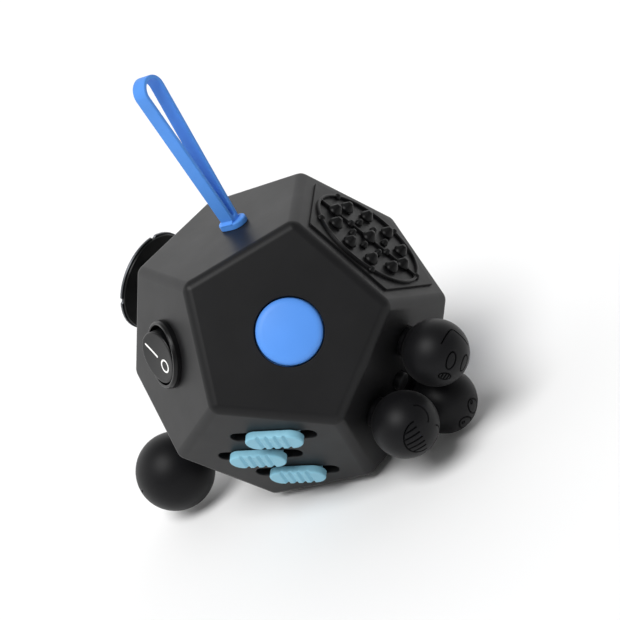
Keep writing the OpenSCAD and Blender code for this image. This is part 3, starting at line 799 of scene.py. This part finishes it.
SLEEVE_IN = 5.6
SLEEVE_OUT = 6.0
PADDLE_R = 4.95
PADDLE_DISH = 0.28
PADDLE_EDGE = 0.3
PADDLE_FOOT = -2.0
PIVOT_Z = -0.2
PIN_R = 0.6
PIN_REACH = 5.95
SLEEVE_FLOOR = -5.5
MARK_SINK = 0.3
MARK_RISE = 0.03
MARK_I_X = -2.1
MARK_I_SIZE = (4.0, 0.42)
MARK_O_X = 2.3
MARK_O_IN, MARK_O_OUT = 0.95, 1.3


def dish(x):
    return PADDLE_DISH * ((x / PADDLE_R) ** 2 - 1)


def add_rocker():
    place = at_node("rocker", "rocker_bezel", ROCKER_TURN)
    low, high = span("rocker_bezel", place)
    profile = rounded([(0, low.z, 0), (SLEEVE_OUT, low.z, 0), (SLEEVE_OUT, 0, 0), (high.x, 0, 0),
                       (high.x, high.z * 0.6, 0.35), (SLEEVE_IN + 0.5, high.z, 0.3),
                       (SLEEVE_IN, high.z - 0.06, 0.1), (SLEEVE_IN, SLEEVE_FLOOR, 0), (0, SLEEVE_FLOOR, 0)])
    add_piece("rocker_bezel_form", lathe(profile), ["rocker_bezel"], place)

    pivot = place @ shifted(z=PIVOT_Z) @ turned("Y", ROCKER_TILT)
    top = span("rocker_paddle", pivot)[1].z
    levels = edge_levels(PADDLE_FOOT, top, 0.2, PADDLE_EDGE)
    levels += [(PADDLE_EDGE + (PADDLE_R - PADDLE_EDGE) * k / 12, top) for k in range(1, 13)]
    dished_z = top - PADDLE_EDGE - 0.01
    form = layers(circle(PADDLE_R), levels, lambda x, y, z: z + (dish(x) if z > dished_z else 0))
    put(form, rod(PIN_R, -PIN_REACH, PIN_REACH, 24), turned("X", 90))
    add_piece("rocker_paddle_form", form, ["rocker_paddle"], pivot)

    foot, face = top - MARK_SINK, top + MARK_RISE
    bar = layers(pill(*MARK_I_SIZE, 8, 12), edge_levels(foot, face, 0, 0.02, 1),
                 lambda x, y, z: z + dish(x + MARK_I_X))
    add_piece("rocker_mark_i_form", bar, ["rocker_mark_i"], pivot @ shifted(MARK_I_X))
    loop = lathe(rounded([(MARK_O_IN, foot, 0), (MARK_O_OUT, foot, 0), (MARK_O_OUT, face, 0.02),
                          (MARK_O_IN, face, 0.02)], 2), 64)
    for v in loop.verts:
        v.co.z += dish(v.co.x + MARK_O_X)
    add_piece("rocker_mark_o_form", loop, ["rocker_mark_o"], pivot @ shifted(MARK_O_X))


# ---------------------------------------------------------------- sliders

SLOT_L = 16.2
SLOT_W = 3.0
GROOVES = (-2.48, -0.83, 0.83, 2.48)
GROOVE_DEPTH = 0.36
GROOVE_HALF = 0.5
GROOVE_FADE = 0.8
SLOT_PITCH = 7.4
SLOT_ALONG = (2, -2.9, 2)
CAP_FOOT = 0.1
CAP_EDGE = 0.35
STEM_SHORTER = 1.6


def slider_slots():
    """The place at the middle of each slot."""
    whole = on_face("sliders", turn=SLIDER_TURN)
    return [whole @ shifted(x, SLOT_PITCH * (1 - i)) for i, x in enumerate(SLOT_ALONG)]


def groove(x):
    """Depth of the finger grooves across a slider cap, at x along it."""
    off = min(abs(x - middle) for middle in GROOVES) / GROOVE_HALF
    return GROOVE_DEPTH * (0.5 + 0.5 * math.cos(math.pi * off)) ** 0.7 if off < 1 else 0.0


def add_sliders():
    for i in range(3):
        node = f"slider_cap_{i + 1}"
        place = at_node("sliders", node, SLIDER_TURN)
        low, high = span(node, place)
        length, width, top = high.x - low.x, high.y - low.y, high.z
        levels = edge_levels(CAP_FOOT, top, 0.12, CAP_EDGE, 6)
        levels += [(CAP_EDGE + (width / 2 - CAP_EDGE) * k / 8, top) for k in range(1, 9)]
        fade_z = top - GROOVE_FADE
        form = layers(pill(length, width, 20, 96), levels,
                      lambda x, y, z: z - groove(x) * min(1, max(0, (z - fade_z) / GROOVE_FADE)))
        put(form, layers(pill(length - STEM_SHORTER, SLOT_W - 0.2), edge_levels(low.z, CAP_FOOT + 0.1)))
        add_piece(f"{node}_form", form, [node], place, sharp=50)


# ---------------------------------------------------------------- texture panel and ripple pad

PEG_RING = 8
PEG_R = 1.2
PEG_FOOT = -2.8
PANEL_R = 15.2
PANEL_H = 0.45
PATTERN_TURN = 6
# Rings of studs: how many, ring radius, first angle, (widest radius, tip radius, height)
STUD_RINGS = ((1, 0, 0, (1.45, 0.42, 1.9)), (8, 4.2, 0, (0.78, 0.3, 1.1)), (10, 7.9, 0, (1.4, 0.4, 1.8)),
              (5, 11.3, 36, (0.75, 0.32, 0.9)))
RIB_RING = 11.3
RIB_W = 0.5
RIB_H = 0.55
RIB_EDGE = 0.15
PAD_GROOVES = (3.4, 5.4, 7.4, 9.4)
PAD_GROOVE_R = 0.55
PAD_EDGE = 0.3


def put_pegs(form):
    """The three pegs that hold a panel in its face."""
    for k in range(3):
        put(form, rod(PEG_R, PEG_FOOT, 0.1, 32), turned("Z", 90 + 120 * k) @ shifted(PEG_RING))


def stud(wide, tip, height):
    """A drop-shaped stud: a short step, the widest ring just above it, then a cone with a blunt tip."""
    step = wide * 0.82
    outline = [(0, -0.3, 0), (step, -0.3, 0), (step, height * 0.1, 0.03), (wide, height * 0.17, wide * 0.1),
               (wide * 0.86, height * 0.42, wide * 0.5), (tip, height, tip * 0.8), (0, height, 0)]
    return lathe(rounded(outline, 6), 32)


def add_texture_panel():
    place = on_face("texture")
    form = layers(polygon(PANEL_R, 5, 0.5, 54), edge_levels(0, PANEL_H, 0, 0.12))
    put_pegs(form)
    pattern = turned("Z", PATTERN_TURN) @ shifted(z=PANEL_H)
    for count, radius, start, size in STUD_RINGS:
        for k in range(count):
            put(form, stud(*size), pattern @ turned("Z", start + 360 * k / count) @ shifted(radius))
    near, far = RIB_RING - RIB_W / 2, RIB_RING + RIB_W / 2
    profile = rounded([(near, -0.2, 0), (far, -0.2, 0), (far, RIB_H, RIB_EDGE), (near, RIB_H, RIB_EDGE)], 3)
    put(form, lathe(profile, 128), pattern)
    put(form, layers(pill(2 * RIB_RING, RIB_W, 6), edge_levels(-0.2, RIB_H, 0, RIB_EDGE, 3)), pattern)
    add_piece("texture_panel_form", form, ["texture_panel"], place)


def add_ripple_pad():
    place = on_face("rest")
    high = span("ripple_pad", place)[1]
    radius, top = high.x, high.z
    outline = [(0, 0), (0, top)]
    for ring in PAD_GROOVES:
        outline += [(ring + x, min(top - 0.02 + z, top)) for x, z in arc(0, 0, PAD_GROOVE_R, 180, 360, 10)]
    outline += arc(radius - PAD_EDGE, top - PAD_EDGE, PAD_EDGE, 90, 0, 5) + [(radius, 0)]
    form = lathe(outline, 128)
    put_pegs(form)
    add_piece("ripple_pad_form", form, ["ripple_pad"], place)


# ---------------------------------------------------------------- engraved balls

SOFT_RING = 8.05
SOFT_NECK_R = 2.9
SOFT_BORE_R = 1.62
SOFT_BORE_TOP = 1.2
LINE_HALF = 0.17
LINE_DEEP = 0.36
CENTRE_R = 1.75
CENTRE_FLANGE_R = 2.4
CENTRE_FLANGE_LOW = -3
CENTRE_FLANGE_TOP = -2.1


def direction(latitude, longitude):
    a, b = math.radians(latitude), math.radians(longitude)
    return Vector((math.cos(a) * math.cos(b), math.cos(a) * math.sin(b), math.sin(a)))


class BallFace:
    """Directions on a ball from (x, y) in degrees round the middle of a drawn face."""

    def __init__(self, middle, up):
        self.middle = direction(*middle)
        toward = direction(*up)
        self.up = (toward - self.middle * toward.dot(self.middle)).normalized()
        self.right = self.up.cross(self.middle)

    def at(self, x, y):
        reach = math.radians(math.hypot(x, y))
        side = (self.right * x + self.up * y).normalized() if reach else self.up
        return self.middle * math.cos(reach) + side * math.sin(reach)


def oval(x, y, rx, ry, start=0, end=360, steps=28):
    """An oval stroke, or the part of it between two angles."""
    angles = [math.radians(start + (end - start) * k / steps) for k in range(steps + 1)]
    points = [(x + rx * math.cos(a), y + ry * math.sin(a)) for a in angles]
    return points[:-1] if end - start == 360 else points


def straight(start, end):
    """A straight stroke with enough points to follow the ball."""
    return line(start, end, 8) + [end]


def smooth_line(corners, steps=8):
    """A stroke through a few points, curving softly (Catmull-Rom)."""
    ends = [corners[0]] + list(corners) + [corners[-1]]
    points = []
    for a, b, c, d in zip(ends, ends[1:], ends[2:], ends[3:]):
        for t in (k / steps for k in range(steps)):
            weights = (-t + 2 * t ** 2 - t ** 3, 2 - 5 * t ** 2 + 3 * t ** 3,
                       t + 4 * t ** 2 - 3 * t ** 3, t ** 3 - t ** 2)
            points.append(tuple(sum(w * v for w, v in zip(weights, values)) / 2 for values in zip(a, b, c, d)))
    return points + [corners[-1]]


def stroke_tube(face, points, ball_r, centre, closed):
    """A narrow, deep tool along a stroke that lies on the ball's surface."""
    sides = 8
    route = [face.at(*p) * ball_r for p in points]
    rings = []
    for k, spot in enumerate(route):
        ahead = route[(k + 1) % len(route)] if closed or k + 1 < len(route) else spot
        behind = route[k - 1] if closed or k > 0 else spot
        tangent = (ahead - behind).normalized()
        outward = spot.normalized()
        side = tangent.cross(outward).normalized()
        rings.append([centre + spot + side * (math.cos(a) * LINE_HALF) + outward * (math.sin(a) * LINE_DEEP)
                      for a in (math.tau * j / sides for j in range(sides))])
    form = bmesh.new()
    loops = [[form.verts.new(p) for p in ring] for ring in rings]
    pairs = list(zip(loops, loops[1:] + loops[:1])) if closed else list(zip(loops, loops[1:]))
    for low, high in pairs:
        for j in range(sides):
            m = (j + 1) % sides
            form.faces.new((low[j], low[m], high[m], high[j]))
    if not closed:
        form.faces.new(list(reversed(loops[0])))
        form.faces.new(loops[-1])
    return form


def is_ring(points):
    """Whether a stroke's last point comes back beside its first."""
    gap = math.dist(points[0], points[-1])
    return gap < 2.5 * math.dist(points[0], points[1]) and len(points) > 12


def worried_face():
    face = BallFace((55, 55), (25, 0))
    strokes = [oval(-2, -8, 8, 15), oval(30, -7, 8, 15)]
    strokes.append(smooth_line([(-25, 16), (-17, 33), (-4, 48), (12, 42), (37, 27)]))
    strokes.append(oval(0, -38, 12, 7))
    strokes += [straight((x, -43.5), (x, -32.5)) for x in (-6, 0, 6)]
    return face, strokes


def grinning_face():
    face = BallFace((55, -60), (60, -110))
    strokes = [oval(-23, 12, 20, 17, 20, 160), oval(30, 24, 18, 15, 20, 160)]
    strokes.append(oval(9, -6, 31, 30, 172, 366))
    for x in (-12, -2, 8, 18, 28):
        strokes.append(straight((x, -3), (x, -6 - 29 * math.sqrt(1 - ((x - 9) / 31) ** 2))))
    return face, strokes


def startled_face():
    face = BallFace((70, 180), (60, 120))
    strokes = [oval(13, 12, 18, 12), oval(22, -20, 20, 12)]
    strokes += [oval(3, 15, 2.5, 2.5, steps=14), oval(13, -22, 2.5, 2.5, steps=14)]
    strokes.append(oval(62, -4, 10, 14))
    return face, strokes


def calm_face():
    face = BallFace((90, 0), (20, -128))
    strokes = [oval(-20, 14, 7, 11), oval(20, 14, 7, 11), oval(0, 0, 42, 40, 215, 325)]
    strokes += [smooth_line([(46 * side, -30), (42 * side, -25), (36 * side, -24)]) for side in (-1, 1)]
    return face, strokes


def engrave(form, drawn, ball_r, centre):
    face, strokes = drawn
    tools = bmesh.new()
    for points in strokes:
        put(tools, stroke_tube(face, points, ball_r, centre, is_ring(points)))
    return cut(form, tools, overlaps=True)


def ball_outline(ball_r, centre_z, neck_r, foot_z, bore_r, bore_z):
    """A ball that runs into a short neck below it, with a bore for its pin."""
    start = math.degrees(math.asin(neck_r / ball_r)) + 8
    join_z = centre_z - math.sqrt(ball_r ** 2 - neck_r ** 2)
    ball = [(ball_r * math.sin(a), centre_z - ball_r * math.cos(a)) for a in
            (math.radians(start + (180 - start) * k / 56) for k in range(57))]
    neck = rounded([(bore_r, foot_z, 0), (neck_r, foot_z, 0.2), (neck_r, join_z, 0.5), (*ball[0], 0)])[:-1]
    ball[-1] = (0, centre_z + ball_r)
    return [(0, bore_z), (bore_r, bore_z)] + neck + ball


def add_soft_balls():
    drawings = (worried_face, grinning_face, startled_face)
    for i, (angle, drawing) in enumerate(zip(SOFT_ANGLES, drawings)):
        node = f"soft_ball_{i + 1}"
        place = round_the_face("soft", SOFT_RING, angle)
        low, high = span(node, place)
        ball_r = high.x
        centre_z = high.z - ball_r
        outline = ball_outline(ball_r, centre_z, SOFT_NECK_R, low.z, SOFT_BORE_R, SOFT_BORE_TOP)
        form = lathe(outline, 112)
        form = engrave(form, drawing(), ball_r, Vector((0, 0, centre_z)))
        add_piece(f"{node}_form", form, [node], place, sharp=40)


def add_centre_button():
    place = on_face("soft")
    low, high = span("centre_button", place)
    outline = rounded([(0, low.z, 0), (1, low.z, 0), (1, CENTRE_FLANGE_LOW, 0),
                       (CENTRE_FLANGE_R, CENTRE_FLANGE_LOW, 0), (CENTRE_FLANGE_R, CENTRE_FLANGE_TOP, 0),
                       (CENTRE_R, CENTRE_FLANGE_TOP, 0), (CENTRE_R, high.z - 0.25, 0.3),
                       (CENTRE_R - 0.85, high.z, 0.6), (0, high.z, 0)])
    add_piece("centre_button_form", lathe(outline, 48), ["centre_button"], place)


# ---------------------------------------------------------------- joystick

STICK_NECK_R = 3.0
STICK_NECK_H = 0.3
STICK_BORE_R = 2.22
STICK_BORE_H = 1.2
COLLAR_IN = 4.6
COLLAR_SLEEVE_R = 6.15

def add_joystick():
    place = on_face("joystick")
    low, high = span("joystick_ball", place)
    ball_r = high.x
    centre_z = high.z - ball_r
    outline = ball_outline(ball_r, centre_z, STICK_NECK_R, low.z - STICK_NECK_H, STICK_BORE_R,
                           low.z + STICK_BORE_H)
    form = lathe(outline, 128)
    form = engrave(form, calm_face(), ball_r, Vector((0, 0, centre_z)))
    add_piece("joystick_ball_form", form, ["joystick_ball"], place, sharp=40)

    low, high = span("joystick_collar", place)
    profile = rounded([(COLLAR_IN, low.z, 0), (COLLAR_SLEEVE_R, low.z, 0), (COLLAR_SLEEVE_R, 0, 0),
                       (high.x, 0, 0), (high.x, high.z, 0.35), (COLLAR_IN + 0.3, high.z, 0.3),
                       (COLLAR_IN, 0.2, 0)])
    add_piece("joystick_collar_form", lathe(profile), ["joystick_collar"], place)


# ---------------------------------------------------------------- spinner

NOTCHES = tuple(49.5 + 90 * k for k in range(4))
NOTCH_R = 0.62
NOTCH_OUT = 0.15
# The ring groove of the plate: (inset from the plate's edge, depth)
PLATE_GROOVE = ((2.4, 0), (2.55, 0.12), (2.9, 0.2), (3.25, 0.2), (3.6, 0.12), (3.75, 0))


def notched(radius, steps=360):
    """Outline of a disc with four round notches, as a function of how far it is inset."""
    middle = radius + NOTCH_OUT

    def outline(inset):
        points = []
        for k in range(steps):
            angle = 360 * k / steps
            r = radius - inset
            for notch in NOTCHES:
                off = math.radians((angle - notch + 180) % 360 - 180)
                room = (NOTCH_R + inset) ** 2 - (middle * math.sin(off)) ** 2
                if room > 0 and abs(off) < 1:
                    r = min(r, middle * math.cos(off) - math.sqrt(room))
            points.append((r * math.cos(math.radians(angle)), r * math.sin(math.radians(angle))))
        return points

    return outline


def add_spinner():
    place = on_face("spinner")
    low, high = span("spinner_disc", place)
    disc = layers(circle(high.x, 128), edge_levels(low.z, high.z, 0.15, 0.03))
    add_piece("spinner_disc_form", disc, ["spinner_disc"], place)

    low, high = span("spinner_plate", place)
    levels = edge_levels(low.z, high.z, 0.06, 0.12, 3)
    plate = layers(notched(high.x), levels + [(inset, high.z - depth) for inset, depth in PLATE_GROOVE])
    add_piece("spinner_plate_form", plate, ["spinner_plate"], place)

    low, high = span("spinner_cap", place)
    outline = rounded([(0, low.z, 0), (high.x, low.z, 0), (high.x, low.z + 0.55, 0.4),
                       (high.x * 0.55, high.z - 0.12, 2.0), (0, high.z, 0)])
    add_piece("spinner_cap_form", lathe(outline), ["spinner_cap"], place)


# ---------------------------------------------------------------- click buttons, gears, roller

CLICK_RING = 8
CLICK_R = 2.7
CLICK_FLANGE_R = 3.3
CLICK_FLANGE_TOP = -2.1


def add_click_buttons():
    for i, angle in enumerate(CLICK_ANGLES):
        node = f"click_button_{i + 1}"
        place = round_the_face("clicks", CLICK_RING, angle)
        low, high = span(node, place)
        outline = rounded([(0, low.z, 0), (CLICK_FLANGE_R, low.z, 0.1), (CLICK_FLANGE_R, CLICK_FLANGE_TOP, 0.1),
                           (CLICK_R, CLICK_FLANGE_TOP, 0), (CLICK_R, high.z - 0.55, 0.5),
                           (CLICK_R - 1.4, high.z - 0.02, 1.6), (0, high.z, 0)], 7)
        add_piece(f"{node}_form", lathe(outline, 64), [node], place)


TEETH = 10
GEAR_M = 0.72
PRESSURE = math.radians(25)
TOOTH_GAP = 1.6
GEAR_BORE = 1.06
BORE_EDGE = 0.12
TRAY_R = 12.55
TRAY_FLANGE_R = 13
TRAY_IN = 11.8
TRAY_FLOOR = -2.2
POST_R = 1
POST_TOP = 0.9
SUN_RIM_IN, SUN_RIM_OUT = 1.5, 2.4
ADDENDUM, DEDENDUM = 0.8, 1.05


def tooth_outline(inset):
    """Outline of a gear; the inset thins its teeth and lowers their tips."""
    pitch_r = GEAR_M * TEETH / 2
    base_r = pitch_r * math.cos(PRESSURE)
    tip_r, root_r = pitch_r + ADDENDUM * GEAR_M - inset, pitch_r - DEDENDUM * GEAR_M - inset
    thin = math.degrees(inset / pitch_r)

    def half(radius):
        a = math.acos(min(1, base_r / radius))
        involute = math.degrees((math.tan(PRESSURE) - PRESSURE) - (math.tan(a) - a))
        return 90 / TEETH - TOOTH_GAP + involute - thin

    points = []
    radii = [base_r + (tip_r - base_r) * k / 4 for k in range(5)]
    for k in range(TEETH):
        middle = 360 * k / TEETH
        flank = [(root_r, half(base_r))] + [(r, half(r)) for r in radii]
        polar = [(r, middle - h) for r, h in flank] + [(r, middle + h) for r, h in reversed(flank)]
        points += [(r * math.cos(math.radians(a)), r * math.sin(math.radians(a))) for r, a in polar]
    return points


def gear(z0, z1):
    form = layers(tooth_outline, edge_levels(z0, z1, 0.1, 0.1, 1))
    wide = GEAR_BORE + BORE_EDGE
    bore = lathe([(0, z0 - 1), (GEAR_BORE, z0 - 1), (GEAR_BORE, z1 - BORE_EDGE), (wide, z1), (wide, z1 + 1),
                  (0, z1 + 1)], 40)
    return cut(form, bore)


def add_gears():
    place = on_face("gears")
    low, high = span("gear_planet_1", place)
    sun = gear(low.z, high.z)
    sun_top = span("gear_sun", place)[1].z
    put(sun, lathe(rounded([(SUN_RIM_IN, high.z - 0.1, 0), (SUN_RIM_OUT, high.z - 0.1, 0),
                            (SUN_RIM_OUT, sun_top, 0.15), (SUN_RIM_IN, sun_top, 0.15)]), 64))
    add_piece("gear_sun_form", sun, ["gear_sun"], place)
    pitch = 360 / TEETH
    for i, angle in enumerate(PLANET_ANGLES):
        lead = pitch * math.floor(angle / pitch + 0.5) - angle
        own = turned("Z", angle) @ shifted(GEAR_M * TEETH) @ turned("Z", 180 - lead + pitch / 2)
        node = f"gear_planet_{i + 1}"
        add_piece(f"{node}_form", gear(low.z, high.z), [node], place @ own)

    foot_z = span("gear_tray", place)[0].z
    profile = rounded([(0, foot_z, 0), (TRAY_FLANGE_R, foot_z, 0), (TRAY_FLANGE_R, -WALL, 0),
                       (TRAY_R, -WALL, 0), (TRAY_R, 0, 0.15), (TRAY_IN, 0, 0.15), (TRAY_IN, TRAY_FLOOR, 0.3),
                       (0, TRAY_FLOOR, 0)])
    tray = lathe(profile, 128)
    post_foot = TRAY_FLOOR - 0.3
    post = [(0, post_foot, 0), (POST_R, post_foot, 0), (POST_R, POST_TOP, 0.15), (0, POST_TOP, 0)]
    for at in [Matrix()] + [turned("Z", a) @ shifted(GEAR_M * TEETH) for a in PLANET_ANGLES]:
        put(tray, lathe(rounded(post), 40), at)
    add_piece("gear_tray_form", tray, ["gear_tray"], place)


ROLLER_GAP = 0.06
ROLLER_SLEEVE_R = 5.9
RING_EDGE = 0.4
RING_LIP = 0.15


def add_roller():
    place = on_face("roller")
    low, high = span("roller_ball", place)
    radius, middle = high.x, (low.z + high.z) / 2
    sphere = [(radius * math.cos(a), middle + radius * math.sin(a)) for a in
              (math.pi * k / 64 - math.pi / 2 for k in range(65))]
    sphere[0], sphere[-1] = (0, middle - radius), (0, middle + radius)
    add_piece("roller_ball_form", lathe(sphere), ["roller_ball"], place)

    low, high = span("roller_ring", place)
    seat = radius + ROLLER_GAP
    heights = [high.z - RING_LIP - 0.35 * k for k in range(6)]
    seat_wall = [(math.sqrt(seat ** 2 - (z - middle) ** 2), z) for z in heights]
    outline = [(seat_wall[-1][0], low.z), (ROLLER_SLEEVE_R, low.z), (ROLLER_SLEEVE_R, 0), (high.x, 0)]
    outline += arc(high.x - RING_EDGE, high.z - RING_EDGE, RING_EDGE, 0, 90, 5)
    outline += arc(seat_wall[0][0] + 0.25, high.z - RING_LIP, RING_LIP, 90, 180, 4) + seat_wall
    add_piece("roller_ring_form", lathe(outline), ["roller_ring"], place)


def finish_frame_nodes():
    """The CAD nodes that still show get the finish of their slot."""
    for node, thing in frame["nodes"].items():
        thing.material_slots[0].material = MATERIALS[SLOT_OF[node]]


add_studio()
add_shells()
add_button()
add_strap()
add_rocker()
add_sliders()
add_texture_panel()
add_ripple_pad()
add_soft_balls()
add_centre_button()
add_joystick()
add_spinner()
add_click_buttons()
add_gears()
add_roller()
finish_frame_nodes()
